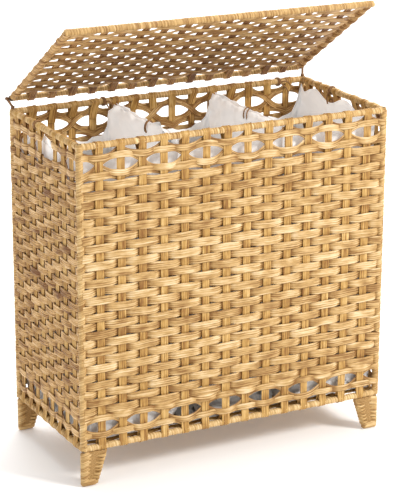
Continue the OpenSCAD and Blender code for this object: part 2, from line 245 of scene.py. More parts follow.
reed_wall = reed_material("reed_wall", (0.26, 0.12, 0.028), (0.59, 0.365, 0.135), (0.83, 0.63, 0.37), 0.04)
reed_side = reed_material("reed_side", (0.19, 0.075, 0.02), (0.55, 0.32, 0.115), (0.84, 0.575, 0.30), 0.045)
reed_stake = reed_material("reed_stake", (0.25, 0.105, 0.02), (0.53, 0.30, 0.08), (0.77, 0.52, 0.21), 0.03)
reed_winding = reed_material(
    "reed_winding", (0.29, 0.14, 0.035), (0.60, 0.375, 0.14), (0.84, 0.62, 0.33), 0.03
)
reed_lid = reed_material("reed_lid", (0.25, 0.11, 0.028), (0.58, 0.34, 0.125), (0.86, 0.60, 0.31), 0.05)
reed_lid_stake = reed_material(
    "reed_lid_stake", (0.17, 0.065, 0.016), (0.42, 0.215, 0.07), (0.70, 0.43, 0.18), 0.05
)
white_cotton = cloth_material()
brown_cord = cord_material()
coated_wire = wire_material("coated_wire", (0.10, 0.06, 0.03), (0.20, 0.13, 0.07), 0.3)
brown_wire = wire_material("brown_wire", (0.13, 0.055, 0.018), (0.28, 0.14, 0.05), 0.2)

# ---- shaping ----


def deselect():
    bpy.ops.object.select_all(action="DESELECT")


def smoothed(values, times=1):
    for _ in range(times):
        values = np.concatenate([values[:1], (values[:-2] + 2 * values[1:-1] + values[2:]) / 4, values[-1:]])
    return values


def unit(v):
    return v / np.maximum(np.linalg.norm(v, axis=-1, keepdims=True), 1e-9)


FLAT = np.array([-1.0, 0.15, -0.6, 0.35, -0.6, 0.35, -0.6, 0.15, -1.0]) * MM
ROUND = np.array([-1.0, 0.15, -0.4, 0.4, -0.4, 0.15, -1.0]) * MM
SMALL = np.array([-0.55, 0.2, -0.55]) * MM
GROOVE = -0.3 * MM
STRIP_T = 1.6 * MM
STAKE_STRIP_T = 1.9 * MM
FOOT_STRIP_T = 1.4 * MM
FLOOR_STRIP_T = 1.1 * MM
WINDING_T = 1.0 * MM
LID_BACK_WINDING_T = 0.9 * MM


def strip(line, out, width, profile=FLAT, shade=0.0):
    """One strip laid along a line of points.

    out points away from what it lies on, and shade is painted light and shade that lightens or darkens its
    colour; the grooves and edges of its profile are painted darker.
    """
    line = np.asarray(line, float)
    out = unit(np.broadcast_to(np.asarray(out, float), line.shape))
    along = unit(np.gradient(line, axis=0))
    across = unit(np.cross(out, along))
    face = unit(np.cross(along, across))
    width = np.broadcast_to(np.asarray(width, float), (len(line),))
    rows, cols = len(line), len(profile)
    bpy.ops.mesh.primitive_grid_add(x_subdivisions=rows - 1, y_subdivisions=cols - 1, size=1, calc_uvs=True)
    piece = bpy.context.object
    mesh = piece.data
    co = np.empty(len(mesh.vertices) * 3)
    mesh.vertices.foreach_get("co", co)
    co = co.reshape(-1, 3)
    i = np.rint((co[:, 0] + 0.5) * (rows - 1)).astype(int)
    j = np.rint((co[:, 1] + 0.5) * (cols - 1)).astype(int)
    place = line[i] + across[i] * (width[i] * (j / (cols - 1) - 0.5))[:, None] + face[i] * profile[j][:, None]
    mesh.vertices.foreach_set("co", place.ravel())
    length = np.concatenate([[0], np.cumsum(np.linalg.norm(np.diff(line, axis=0), axis=1))])
    shift = rng.uniform(0, 9, 2)
    uv = np.empty(len(mesh.loops) * 2)
    layer = mesh.uv_layers[0]
    layer.name = "UVMap"
    layer.data.foreach_get("uv", uv)
    uv = uv.reshape(-1, 2)
    at = np.rint(uv[:, 0] * (rows - 1)).astype(int)
    uv = np.stack([length[at] + shift[0], (uv[:, 1] - 0.5) * width.mean() + shift[1]], axis=1)
    layer.data.foreach_set("uv", uv.ravel())
    tone_and_shade = mesh.attributes.new("tone_and_shade", "FLOAT", "POINT")
    shade = np.broadcast_to(np.asarray(shade, float), (len(line),))
    # Painted shade: the low grooves and edges of the profile are painted darker and its ridges a little
    # lighter.
    groove_shade = np.where(profile < GROOVE, -1.6, 0.25)
    tone_and_shade.data.foreach_set("value", (rng.normal(0, 0.6) + shade[i] + groove_shade[j]).astype(np.float32))
    return piece


def finish_piece(parts, name, material, body, replaced=(), thick=STRIP_T, angle=55):
    """Joins strips, gives them thickness and hands the piece to the frame."""
    deselect()
    for part in parts:
        part.select_set(True)
    piece = parts[0]
    bpy.context.view_layer.objects.active = piece
    if len(parts) > 1:
        bpy.ops.object.join()
    piece.name = name
    piece.data.name = name
    if thick:
        solid = piece.modifiers.new("thickness", "SOLIDIFY")
        solid.thickness = thick
        solid.offset = 0
        bpy.ops.object.modifier_apply(modifier=solid.name)
    bpy.ops.object.shade_smooth_by_angle(angle=math.radians(angle))
    piece.data.materials.clear()
    piece.data.materials.append(material)
    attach(piece, body)
    if replaced:
        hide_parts(*replaced)
    return piece


# ---- the basket's measures, from the frame ----

body_lo, body_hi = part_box("lower_rim_wrap")[0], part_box("top_rim_wrap")[1]
WIDTH, DEPTH = body_hi.x - body_lo.x, body_hi.y - body_lo.y
MID_Y = (body_hi.y + body_lo.y) / 2
WRAP_R = (body_hi.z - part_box("top_rim_wrap")[0].z) / 2
TOP_RIM_Z = body_hi.z - WRAP_R
LOW_RIM_Z = body_lo.z + WRAP_R
WEAVE_LO, WEAVE_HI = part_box("front_weave")[0].z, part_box("front_weave")[1].z
WEAVE_MID = (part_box("front_stakes")[0].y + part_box("front_stakes")[1].y) / 2 - body_lo.y
STAKE_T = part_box("front_stakes")[1].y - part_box("front_stakes")[0].y

# ---- counts and widths of the strips ----

LONG_STAKES, SIDE_STAKES = 14, 8
LONG_ROWS, SIDE_ROWS = 27, 31
HANDLE_STAKE = 5
STAKE_W = 15 * MM
RIM_TURN, RIM_STRIP = 5.6 * MM, 6.0 * MM
DIVIDER_TURN, DIVIDER_STRIP = 5.4 * MM, 5.8 * MM
SWING = STAKE_T / 2 + STRIP_T / 2 + 0.35 * MM


class Wall:
    """A wall's own measures: s along it, z up, and depth outwards from the plane of its stakes."""

    def __init__(self, name, length, count, handle, rows):
        self.name, self.length, self.count, self.handle, self.rows = name, length, count, handle, rows
        self.pitch = length / (count + 1)
        self.end = length / 2 - WRAP_R

    def stake(self, i):
        return -self.length / 2 + i * self.pitch

    def at(self, s, z, depth):
        s, z, depth = np.broadcast_arrays(np.asarray(s, float), z, depth)
        half_w, half_d = WIDTH / 2 - WEAVE_MID, DEPTH / 2 - WEAVE_MID
        if self.name == "front":
            return np.stack([s, MID_Y - half_d - depth, z], -1)
        if self.name == "back":
            return np.stack([s, MID_Y + half_d + depth, z], -1)
        side = -1 if self.name == "left" else 1
        return np.stack([side * (half_w + depth), MID_Y - s, z], -1)

    def out(self):
        return {"front": (0, -1, 0), "back": (0, 1, 0), "left": (-1, 0, 0), "right": (1, 0, 0)}[self.name]


WALLS = [
    Wall("front", WIDTH, LONG_STAKES, None, LONG_ROWS),
    Wall("back", WIDTH, LONG_STAKES, None, LONG_ROWS),
    Wall("left", DEPTH, SIDE_STAKES, HANDLE_STAKE, SIDE_ROWS),
    Wall("right", DEPTH, SIDE_STAKES, HANDLE_STAKE, SIDE_ROWS),
]

# ---- the closed weave ----


def weaver_row(wall, z, front_parity, s0, s1, pitch_z, steps=8):
    """One weaver: over the stakes of one parity and behind the others."""
    count = int(round((s1 - s0) / wall.pitch * steps)) + 1
    s = np.linspace(s0, s1, count)
    phase = (s + wall.length / 2) / wall.pitch
    behind = np.abs((phase - front_parity) % 2 - 1) * wall.pitch
    rise = np.clip((behind - 8 * MM) / (15 * MM), 0, 1)
    rise = rise * rise * (3 - 2 * rise)
    puff = (1.2 + rng.normal(0, 0.2)) * MM * np.sin(np.pi / 2 * np.clip((behind - 12 * MM) / (32 * MM), 0, 1))
    depth = SWING * (2 * rise - 1) - 0.5 * MM * (1 - rise) + puff
    width = pitch_z * (1.0 - 0.06 * rise + rng.normal(0, 0.012))
    drift = smoothed(rng.normal(0, 0.9 * MM, count), 6)
    lean = rng.normal(0, 0.02) * np.sin(np.pi * (phase - front_parity)) * rise * pitch_z
    # Painted shade: the weaver is painted dark where it dives behind a stake, a painted shadow in the slot
    # beside the stake, and a little lighter along its floats.
    shade = 0.5 - 4.0 * (1 - np.clip((behind - 7 * MM) / (9 * MM), 0, 1))
    return strip(wall.at(s, z + drift + lean, depth), wall.out(), width, FLAT, shade)


def closed_weave(wall):
    pitch_z = (WEAVE_HI - WEAVE_LO) / wall.rows
    parts = []
    for r in range(wall.rows):
        z = WEAVE_LO + (r + 0.5) * pitch_z
        parts.append(weaver_row(wall, z, r % 2, -wall.end, wall.end, pitch_z))
    if wall.handle:
        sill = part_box(wall.name + "_weave")[1].z
        lo, hi = wall.stake(wall.handle - 1), wall.stake(wall.handle + 1)
        z = (WEAVE_HI + sill) / 2
        parts.append(weaver_row(wall, z, wall.rows % 2, lo - 9 * MM, hi + 9 * MM, sill - WEAVE_HI))
    material = reed_side if wall.handle else reed_wall
    node = wall.name + "_weave"
    return finish_piece(parts, wall.name + "_weavers", material, "basket", [node])


# ---- the upright stakes, which lap over both rims ----


STAKE_TAIL = 26 * MM
STAKE_POINTS = 40


def lap_over(z, sign, tail):
    """Points that carry a stake from the wall's plane over a rim bar and a little way down inside."""
    r = WRAP_R - 0.2 * MM
    back = WRAP_R - WEAVE_MID
    turn = np.radians(np.linspace(-20, 200, 15))
    depth = r * np.cos(turn) - back
    height = z + sign * r * np.sin(turn)
    depth = np.concatenate([depth, [depth[-1] + 1.6 * MM, -STAKE_T - 0.2 * MM]])
    height = np.concatenate([height, [height[-1] - sign * 8 * MM, height[-1] - sign * tail]])
    return depth, height


def stakes(wall):
    parts = []
    for i in range(1, wall.count + 1):
        s = wall.stake(i) + rng.normal(0, 0.5 * MM)
        ends = []
        for z, sign in ((LOW_RIM_Z, -1), (TOP_RIM_Z, 1)):
            if sign > 0 and i == wall.handle:
                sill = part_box(wall.name + "_weave")[1].z
                ends.append((np.array([0.0, 0.0]), np.array([sill - 8 * MM, sill - 1 * MM])))
            else:
                ends.append(lap_over(z, sign, STAKE_TAIL + rng.uniform(-5, 5) * MM))
        low_d, low_z = ends[0]
        high_d, high_z = ends[1]
        mid_z = np.linspace(low_z[0] + 12 * MM, high_z[0] - 12 * MM, STAKE_POINTS)
        depth = np.concatenate([low_d[::-1], np.zeros(STAKE_POINTS), high_d])
        height = np.concatenate([low_z[::-1], mid_z, high_z])
        sway = smoothed(rng.normal(0, 0.8 * MM, len(height)), 8)
        lean = np.where(depth < -WRAP_R, 4 * MM, 0) * rng.choice([-1, 1])
        line = wall.at(s + sway + smoothed(lean, 3), height, smoothed(depth, 1))
        along = unit(np.gradient(line, axis=0))
        side = unit(wall.at(1, 0, 0) - wall.at(0, 0, 0))
        out = np.cross(along, side)
        out = out * np.sign(np.sum(out[25:40] * np.array(wall.out()), axis=1).mean())
        parts.append(strip(line, out, STAKE_W * (1 + rng.normal(0, 0.03))))
    name, node = wall.name + "_stake_strips", wall.name + "_stakes"
    return finish_piece(parts, name, reed_stake, "basket", [node], STAKE_STRIP_T)


# ---- the two openwork bands ----


def strand(wall, marks, width, s0, s1, steps=9):
    """A strand through (height, depth) marks at each stake, from s0 to s1."""
    s = np.linspace(s0, s1, int(round((s1 - s0) / wall.pitch * steps)) + 2)
    phase = (s + wall.length / 2) / wall.pitch
    low = np.clip(np.floor(phase).astype(int), 0, wall.count)
    t = np.clip(phase - low, 0, 1)
    z = np.array([marks(k)[0] for k in range(wall.count + 2)])
    d = np.array([marks(k)[1] for k in range(wall.count + 2)])
    swing = 0.5 - 0.5 * np.cos(np.pi * t)
    depth = d[low] * (1 - swing) + d[low + 1] * swing
    hold = np.where(d[low] > d[low + 1], t**2.6, 1 - (1 - t) ** 2.6)
    height = z[low] * (1 - hold) + z[low + 1] * hold
    drift = smoothed(rng.normal(0, 1.0 * MM, len(s)), 5)
    front = np.clip(depth / SWING, 0, 1)
    span = width * (0.84 + 0.16 * front + smoothed(rng.normal(0, 0.06, len(s)), 3))
    # Painted light and shade: the strand is painted lighter where it comes forward over a stake and darker
    # where it goes behind.
    return strip(wall.at(s, height + drift, depth), wall.out(), span, ROUND, 2.0 * front - 1.2)


def openwork(wall, band):
    """Strands round six-sided holes; each hole is centred on a stake of one parity."""
    if band == "top":
        base, up, parity = TOP_RIM_Z + WRAP_R, -1, 0
        cross, near, far, tight_in, tight_out = 43.5, 26.5, 61.0, 15.0, 71.5
    else:
        base, up, parity = LOW_RIM_Z - WRAP_R, 1, 1
        cross, near, far, tight_in, tight_out = 48.5, 31.5, 66.0, 20.0, 77.5
    front, behind = SWING + 0.9 * MM, -SWING

    def level(mm):
        return base + up * mm * MM

    def crossing(first):
        def marks(k):
            if k % 2 == parity:
                odd_turn = (k // 2 + first) % 2
                return level(near if odd_turn else far), front
            return level(cross), behind - (0.8 * MM if first else 0)

        return marks

    def twined(at_front, at_back):
        def marks(k):
            if k % 2 == parity:
                return level(at_back), behind - 1.2 * MM
            return level(at_front), front + 0.5 * MM

        return marks

    runs = [(-wall.end, wall.end)]
    if band == "top" and wall.handle:
        runs = [
            (-wall.end, wall.stake(wall.handle - 1) + 9 * MM),
            (wall.stake(wall.handle + 1) - 9 * MM, wall.end),
        ]
    parts = []
    for s0, s1 in runs:
        parts.append(strand(wall, crossing(0), 12 * MM, s0, s1))
        parts.append(strand(wall, crossing(1), 12 * MM, s0, s1))
        parts.append(strand(wall, twined(near + 2.0, tight_in), 12 * MM, s0, s1))
        parts.append(strand(wall, twined(far + 1.0, tight_out), 15 * MM, s0, s1))
    node = f"{wall.name}_{'top' if band == 'top' else 'low'}_openwork"
    material = reed_side if wall.handle else reed_wall
    return finish_piece(parts, f"{wall.name}_{band}_strands", material, "basket", [node])


# ---- windings ----


def winding(a, b, radius, pitch, width, profile=ROUND, steps=12):
    """A strip wound round a straight bar from a to b."""
    a, b = np.asarray(a, float), np.asarray(b, float)
    axis = b - a
    length = np.linalg.norm(axis)
    axis = axis / length
    first = np.cross(axis, (0, 0, 1) if abs(axis[2]) < 0.8 else (0, 1, 0))
    first = first / np.linalg.norm(first)
    second = np.cross(axis, first)
    turns = length / pitch
    count = int(turns * steps) + 1
    t = np.linspace(0, 1, count)
    angle = 2 * np.pi * turns * t + rng.uniform(0, 6)
    out = np.cos(angle)[:, None] * first + np.sin(angle)[:, None] * second
    ripple = 1 + smoothed(rng.normal(0, 0.05, count), 3)
    line = a + axis * (length * t)[:, None] + out * (radius * ripple)[:, None]
    return strip(line, out, width * (1 + rng.normal(0, 0.02)), profile)


def rim_winding(z, name, node):
    half_x, half_y = WIDTH / 2 - WRAP_R, DEPTH / 2 - WRAP_R
    turns = (WRAP_R - 0.5 * MM, RIM_TURN, RIM_STRIP, SMALL, 10)
    parts = []
    for s in (-1, 1):
        x, y = s * half_x, MID_Y + s * half_y
        parts.append(winding((-half_x, y, z), (half_x, y, z), *turns))
        parts.append(winding((x, MID_Y - half_y, z), (x, MID_Y + half_y, z), *turns))
    return finish_piece(parts, name, reed_winding, "basket", [node], WINDING_T)


def post_winding(corner, wall_pitch):
    """Turns one weave row apart, close laps at both ends and a rounded cap on top."""
    node = corner + "_post_wrap"
    lo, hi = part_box(node)
    x, y = (lo.x + hi.x) / 2, (lo.y + hi.y) / 2
    half = wall_pitch / 2
    low, high = (x, y, lo.z + half), (x, y, hi.z - half)
    part = winding(low, high, WRAP_R - 0.7 * MM, wall_pitch, wall_pitch, ROUND, 16)
    near, far = 4 * MM, 13 * MM
    turns = (WRAP_R - 0.4 * MM, 6 * MM, 7 * MM, ROUND, 14)
    laps = [
        winding((x, y, hi.z - far), (x, y, hi.z - near), *turns),
        winding((x, y, lo.z + near), (x, y, lo.z + far), *turns),
    ]
    cap = ball((x, y, hi.z - 5.6 * MM), 5.4 * MM)
    parts = [part, *laps, cap]
    return finish_piece(parts, corner + "_post_winding", reed_winding, "basket", [node])


# ---- feet ----


def foot_winding(corner):
    """A strip taken in a figure of eight round the foot's two wires, with a plain turn round the tip."""
    node = corner + "_foot"
    lo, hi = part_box(node)
    left, front = corner.endswith("left"), corner.startswith("front")
    outer_x = lo.x if left else hi.x
    inward = 1 if left else -1
    top_w, height = hi.x - lo.x, hi.z - lo.z
    tip_w = 33 * MM
    mid_y = (lo.y + hi.y) / 2
    half_t = (hi.y - lo.y) / 2 - 1.3 * MM
    turns, steps = 8, 28
    t = np.linspace(0, 1, turns * steps + 1)
    phase = 2 * np.pi * turns * t
    z = hi.z - 4.5 * MM - t * (height - 13 * MM)
    width = tip_w + (top_w - tip_w) * (z - lo.z) / height
    reach = width / 2 - 1.2 * MM
    u = np.cos(phase)
    v = np.sin(2 * phase)
    x = outer_x + inward * (width / 2 + reach * np.sign(u) * np.abs(u) ** 0.8)
    y = mid_y + half_t * np.sign(v) * np.abs(v) ** 0.55
    slope = 3.2 * MM * np.sin(phase)
    line = np.stack([x, y, z + slope], -1)
    line[:, 1] = smoothed(line[:, 1], 2)
    centre_x = outer_x + inward * (width / 2 + np.sign(u) * reach * 0.55)
    centre = np.stack([centre_x, np.full_like(z, mid_y), z], -1)
    parts = [strip(line, line - centre, 9.5 * MM, ROUND)]
    angle = np.linspace(0, 2 * np.pi * 2.1, 72)
    w = tip_w / 2 - 1.4 * MM
    ring_x = outer_x + inward * (tip_w / 2 + w * np.sign(np.cos(angle)) * np.abs(np.cos(angle)) ** 0.6)
    ring_y = mid_y + half_t * np.sign(np.sin(angle)) * np.abs(np.sin(angle)) ** 0.6
    ring_z = lo.z + 5.0 * MM + angle / angle[-1] * 6 * MM
    ring = np.stack([ring_x, ring_y, ring_z], -1)
    parts.append(strip(ring, ring - (outer_x + inward * tip_w / 2, mid_y, lo.z + 7 * MM), 9 * MM, ROUND))
    parts.append(foot_core(outer_x, inward, lo, hi, tip_w, mid_y, half_t - 2.2 * MM))
    name = corner + "_foot_winding"
    return finish_piece(parts, name, reed_winding, "basket", [node], FOOT_STRIP_T)


def foot_core(outer_x, inward, lo, hi, tip_w, mid_y, half_t):
    """The filled tapered body inside the winding, rounded at its tip."""
    deselect()
    bpy.ops.mesh.primitive_cube_add(size=1, location=(0, 0, 0))
    core = bpy.context.object
    mesh = core.data
    for vertex in mesh.vertices:
        share = 1.0 if vertex.co.z > 0 else 0.0
        width = tip_w + (hi.x - lo.x - tip_w) * share - 4 * MM
        along = 2 * MM + width * (vertex.co.x * inward + 0.5 if inward > 0 else 0.5 + vertex.co.x * inward)
        vertex.co = (
            outer_x + inward * along,
            mid_y + vertex.co.y * 2 * half_t,
            (hi.z - 1 * MM) if share else (lo.z + 0.7 * MM),
        )
    deselect()
    core.select_set(True)
    bpy.context.view_layer.objects.active = core
    bevel = core.modifiers.new("round", "BEVEL")
    bevel.width = 3 * MM
    bevel.segments = 3
    bpy.ops.object.modifier_apply(modifier=bevel.name)
    bpy.ops.object.mode_set(mode="EDIT")
    bpy.ops.mesh.select_all(action="SELECT")
    bpy.ops.mesh.normals_make_consistent(inside=False)
    bpy.ops.uv.cube_project(cube_size=0.05)
    bpy.ops.object.mode_set(mode="OBJECT")
    # Painted shade: the core is set dark so that it shows as shade in the gaps between the turns of the
    # winding.
    tone_and_shade = mesh.attributes.new("tone_and_shade", "FLOAT", "POINT")
    tone_and_shade.data.foreach_set("value", np.full(len(mesh.vertices), -2.5, np.float32))
    return core


# ---- floor ----


def floor_mat():
    lo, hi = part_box("floor_weave")
    z = (lo.z + hi.z) / 2
    parts = []
    cols, rows = 14, 18
    pitch_x, pitch_y = (hi.x - lo.x) / (cols + 1), (hi.y - lo.y) / rows
    for c in range(1, cols + 1):
        x = lo.x + c * pitch_x
        y = np.linspace(lo.y + 1 * MM, hi.y - 1 * MM, rows * 4 + 1)
        wave = np.cos(np.pi * ((y - lo.y) / pitch_y - 0.5 - c))
        line = np.stack([np.full_like(y, x), y, z + 0.5 * MM * wave], -1)
        parts.append(strip(line, (0, 0, 1), STAKE_W))
    for r in range(rows):
        y = lo.y + (r + 0.5) * pitch_y
        x = np.linspace(lo.x + 1 * MM, hi.x - 1 * MM, (cols + 1) * 6 + 1)
        wave = np.cos(np.pi * ((x - lo.x) / pitch_x - r))
        line = np.stack([x, np.full_like(x, y), z + 1.7 * MM * wave], -1)
        parts.append(strip(line, (0, 0, 1), pitch_y * 0.86))
    node = "floor_weave"
    return finish_piece(parts, "floor_mat", reed_stake, "basket", [node], FLOOR_STRIP_T)


# ---- dividers ----


def divider_windings(side):
    lo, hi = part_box(side + "_divider_bar")
    x, z, r = (lo.x + hi.x) / 2, (lo.z + hi.z) / 2, (hi.z - lo.z) / 2
    turns = (r - 0.9 * MM, DIVIDER_TURN, DIVIDER_STRIP, SMALL, 10)
    bar = winding((x, lo.y - r, z), (x, hi.y + r, z), *turns)
    name, node = side + "_divider_bar_winding", side + "_divider_bar"
    finish_piece([bar], name, reed_side, "basket", [node], WINDING_T)
    lo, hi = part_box(side + "_divider_posts")
    parts = [winding((x, y, lo.z), (x, y, hi.z), *turns) for y in (lo.y + r, hi.y - r)]
    name, node = side + "_divider_post_windings", side + "_divider_posts"
    finish_piece(parts, name, reed_stake, "basket", [node], WINDING_T)


# ---- lid ----

joint = frame["joints"][0]
HINGE = np.array(joint["pos_m"], float)
front_lo, front_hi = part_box("lid_front_wrap")
LID_UP = math.atan2((front_lo.z + front_hi.z) / 2 - HINGE[2], HINGE[1] - (front_lo.y + front_hi.y) / 2)
LID_ALONG = np.array([0, -math.cos(LID_UP), math.sin(LID_UP)])
LID_OUT = np.array([0, math.sin(LID_UP), math.cos(LID_UP)])


def lid_point(x, along, over):
    x, along, over = np.broadcast_arrays(np.asarray(x, float), along, over)
    across = np.array([1.0, 0, 0])
    return HINGE + x[..., None] * across + along[..., None] * LID_ALONG + over[..., None] * LID_OUT


def lid_measures():
    co = np.array([v.co for v in frame["nodes"]["lid_weave"].data.vertices])
    along = (co - HINGE) @ LID_ALONG
    front = np.array([v.co for v in frame["nodes"]["lid_front_wrap"].data.vertices])
    reach = (front - HINGE) @ LID_ALONG
    back = np.array([v.co for v in frame["nodes"]["lid_back_wrap"].data.vertices])
    back_r = np.abs((back - HINGE) @ LID_ALONG).max()
    middle, half = (reach.min() + reach.max()) / 2, (reach.max() - reach.min()) / 2
    return along.min(), along.max(), middle, half, back_r, front[:, 0].max()


LID_LO, LID_HI, LID_FRONT, LID_FRONT_R, LID_BACK_R, LID_HALF = lid_measures()
LID_PITCH = 2 * LID_HALF / (LONG_STAKES + 1)
LID_SWING = SWING + 0.4 * MM


def lid_weavers():
    rows = 18
    pitch = (LID_HI - LID_LO) / rows
    end = LID_HALF - WRAP_R
    count = (LONG_STAKES + 1) * 8 + 1
    x = np.linspace(-end, end, count)
    phase = (x + LID_HALF) / LID_PITCH
    parts = []
    for r in range(rows):
        wave = np.cos(np.pi * (phase - r % 2))
        over = -LID_SWING * wave
        near_end = np.clip((np.abs(x) - (end - 24 * MM)) / (18 * MM), 0, 1)
        pair = 1 if r % 2 == 0 else -1
        along = LID_LO + (r + 0.5 + 0.22 * pair * near_end) * pitch
        along = along + smoothed(rng.normal(0, 1.1 * MM, count), 6)
        uneven = smoothed(rng.normal(0, 0.28, count), 8)
        width = pitch * (0.84 + 0.08 * np.abs(wave) + rng.normal(0, 0.03) + uneven) * (1 - 0.15 * near_end)
        parts.append(strip(lid_point(x, along, over), -LID_OUT, width, ROUND))
    return finish_piece(parts, "lid_weavers", reed_lid, "lid", ["lid_weave"])


def lid_stake_strips():
    parts = []
    for i in range(1, LONG_STAKES + 1):
        x = -LID_HALF + i * LID_PITCH + rng.normal(0, 0.6 * MM)
        parts.append(lid_stake(x))
    name, node = "lid_stake_strips", "lid_stakes"
    return finish_piece(parts, name, reed_lid_stake, "lid", [node], STAKE_STRIP_T)


def lid_stake(x):
    """A stake that laps under the back bar and is tucked in at the front bar."""
    r = LID_BACK_R + 1.3 * MM
    turn = np.radians(np.linspace(200, 0, 12))
    lap_along, lap_rise = -r * np.sin(turn), -r * np.cos(turn)
    body = np.linspace(14 * MM, LID_FRONT - LID_FRONT_R * 0.6, 36)
    along = np.concatenate([[16 * MM], lap_along, body])
    over = np.concatenate([[2.4 * MM], lap_rise, np.zeros(len(body))])
    line = lid_point(x + smoothed(rng.normal(0, 0.7 * MM, len(along)), 6), along, smoothed(over, 1))
    run = unit(np.gradient(line, axis=0))
    out = np.cross(run, (1.0, 0, 0))
    if (out[30:] @ LID_OUT).mean() > 0:
        out = -out
    return strip(line, out, STAKE_W * 0.98)


def lid_windings():
    ends = LID_HALF - 0.5 * MM
    turns = (LID_FRONT_R - 1.0 * MM, 6.4 * MM, 7.0 * MM, SMALL, 14)
    front = winding(lid_point(-ends, LID_FRONT, 0), lid_point(ends, LID_FRONT, 0), *turns)
    caps = [ball(lid_point(s * (LID_HALF - 4 * MM), LID_FRONT, 0), LID_FRONT_R - 1.2 * MM) for s in (-1, 1)]
    parts, node = [front, *caps], "lid_front_wrap"
    finish_piece(parts, "lid_front_winding", reed_winding, "lid", [node], WINDING_T)
    ends = LID_HALF - 4.5 * MM
    turns = (LID_BACK_R - 0.8 * MM, 5.6 * MM, 6.1 * MM, SMALL, 10)
    back = winding(lid_point(-ends, 0, 0), lid_point(ends, 0, 0), *turns)
    node = "lid_back_wrap"
    finish_piece([back], "lid_back_winding", reed_winding, "lid", [node], LID_BACK_WINDING_T)
    for side, s in (("left", -1), ("right", 1)):
        x = s * (LID_HALF - WRAP_R)
        low, high = lid_point(x, LID_BACK_R, 0), lid_point(x, LID_FRONT - LID_FRONT_R * 0.7, 0)
        bar = winding(low, high, WRAP_R - 1.0 * MM, 16.5 * MM, 15 * MM, ROUND, 16)
        low, high = lid_point(x, LID_BACK_R + 8 * MM, 0), lid_point(x, LID_FRONT - LID_FRONT_R, 0)
        over = winding(low, high, WRAP_R + 0.2 * MM, 33 * MM, 9 * MM, ROUND, 20)
        finish_piece([bar, over], f"lid_{side}_winding", reed_lid, "lid", [f"lid_{side}_wrap"])


def ball(centre, radius):
    """A rounded end inside a winding."""
    deselect()
    bpy.ops.mesh.primitive_uv_sphere_add(
        segments=16, ring_count=10, radius=radius, location=(0, 0, 0), calc_uvs=True
    )
    piece = bpy.context.object
    mesh = piece.data
    mesh.transform(Matrix.Translation(Vector(centre)))
    mesh.uv_layers[0].name = "UVMap"
    tone_and_shade = mesh.attributes.new("tone_and_shade", "FLOAT", "POINT")
    tone_and_shade.data.foreach_set("value", np.full(len(mesh.vertices), 0.0, np.float32))
    return piece


# ---- liners ----

CELL = 11 * MM
CLOTH_T = 1.1 * MM
SETTLE_FRAMES = 30
SLACK = 0.13
NO_EDGE = 9.0


def liner(name, x0, x1, edge):
    """A cloth bag. edge gives the height of its top edge at each place round it."""
    lo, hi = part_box(name)
    y0, y1 = lo.y + 1.5 * MM, hi.y - 1.5 * MM
    nx, ny = int(round((x1 - x0) / CELL)), int(round((y1 - y0) / CELL))
    nz = 46
    deselect()
    bpy.ops.mesh.primitive_grid_add(x_subdivisions=2 * (nx + ny), y_subdivisions=nz, size=1, calc_uvs=True)
    bag = bpy.context.object
    mesh = bag.data
    co = np.empty(len(mesh.vertices) * 3)
    mesh.vertices.foreach_get("co", co)
    co = co.reshape(-1, 3)
    turn = (co[:, 0] + 0.5) * 2 * (nx + ny)
    up = co[:, 1] + 0.5
    path = [(x0, y0), (x1, y0), (x1, y1), (x0, y1), (x0, y0)]
    marks = np.cumsum([0, nx, ny, nx, ny])
    px = np.interp(turn, marks, [p[0] for p in path])
    py = np.interp(turn, marks, [p[1] for p in path])
    bottom = lo.z + 1.5 * MM
    top = np.array([edge(a, b) for a, b in zip(px, py)])
    pz = bottom + (top - bottom) * up
    place = np.stack([px, py, pz], -1)
    mesh.vertices.foreach_set("co", place.ravel())
    deselect()
    bag.select_set(True)
    bpy.context.view_layer.objects.active = bag
    bpy.ops.object.mode_set(mode="EDIT")
    bpy.ops.mesh.select_all(action="SELECT")
    bpy.ops.mesh.remove_doubles(threshold=0.5 * MM)
    bpy.ops.mesh.select_all(action="DESELECT")
    bpy.ops.object.mode_set(mode="OBJECT")
    for e in bag.data.edges:
        a, b = (bag.data.vertices[v].co for v in e.vertices)
        e.select = a.z < bottom + 1e-5 and b.z < bottom + 1e-5
    bpy.ops.object.mode_set(mode="EDIT")
    bpy.ops.mesh.fill_grid(span=nx)
    bpy.ops.mesh.select_all(action="SELECT")
    bpy.ops.mesh.normals_make_consistent(inside=False)
    bpy.ops.object.mode_set(mode="OBJECT")
    bag.name = name + "_bag"
    bag.data.name = bag.name
    return bag


def settle(bag, held):
    """Lets the cloth hang and crease between the places where it is held."""
    deselect()
    bag.select_set(True)
    bpy.context.view_layer.objects.active = bag
    group = bag.vertex_groups.new(name="held")
    group.add(held, 1.0, "REPLACE")
    cloth = bag.modifiers.new("cloth", "CLOTH")
    settings = cloth.settings
    settings.quality = 5
    settings.mass = 0.15
    settings.tension_stiffness = 12
    settings.compression_stiffness = 12
    settings.shear_stiffness = 4
    settings.bending_stiffness = 0.05
    settings.shrink_min = -SLACK
    settings.vertex_group_mass = "held"
    settings.pin_stiffness = 1.0
    settings.effector_weights.gravity = 0.35
    cloth.collision_settings.use_collision = False
    cloth.point_cache.frame_start, cloth.point_cache.frame_end = 1, SETTLE_FRAMES
    scene = bpy.context.scene
    for step in range(1, SETTLE_FRAMES + 1):
        scene.frame_set(step)
    bpy.ops.object.modifier_apply(modifier=cloth.name)
    scene.frame_set(1)


SAG = 58 * MM
left_bar, right_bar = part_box("left_divider_bar"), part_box("right_divider_bar")
BAR_TOP = left_bar[1].z
BAR_X = (right_bar[0].x + right_bar[1].x) / 2


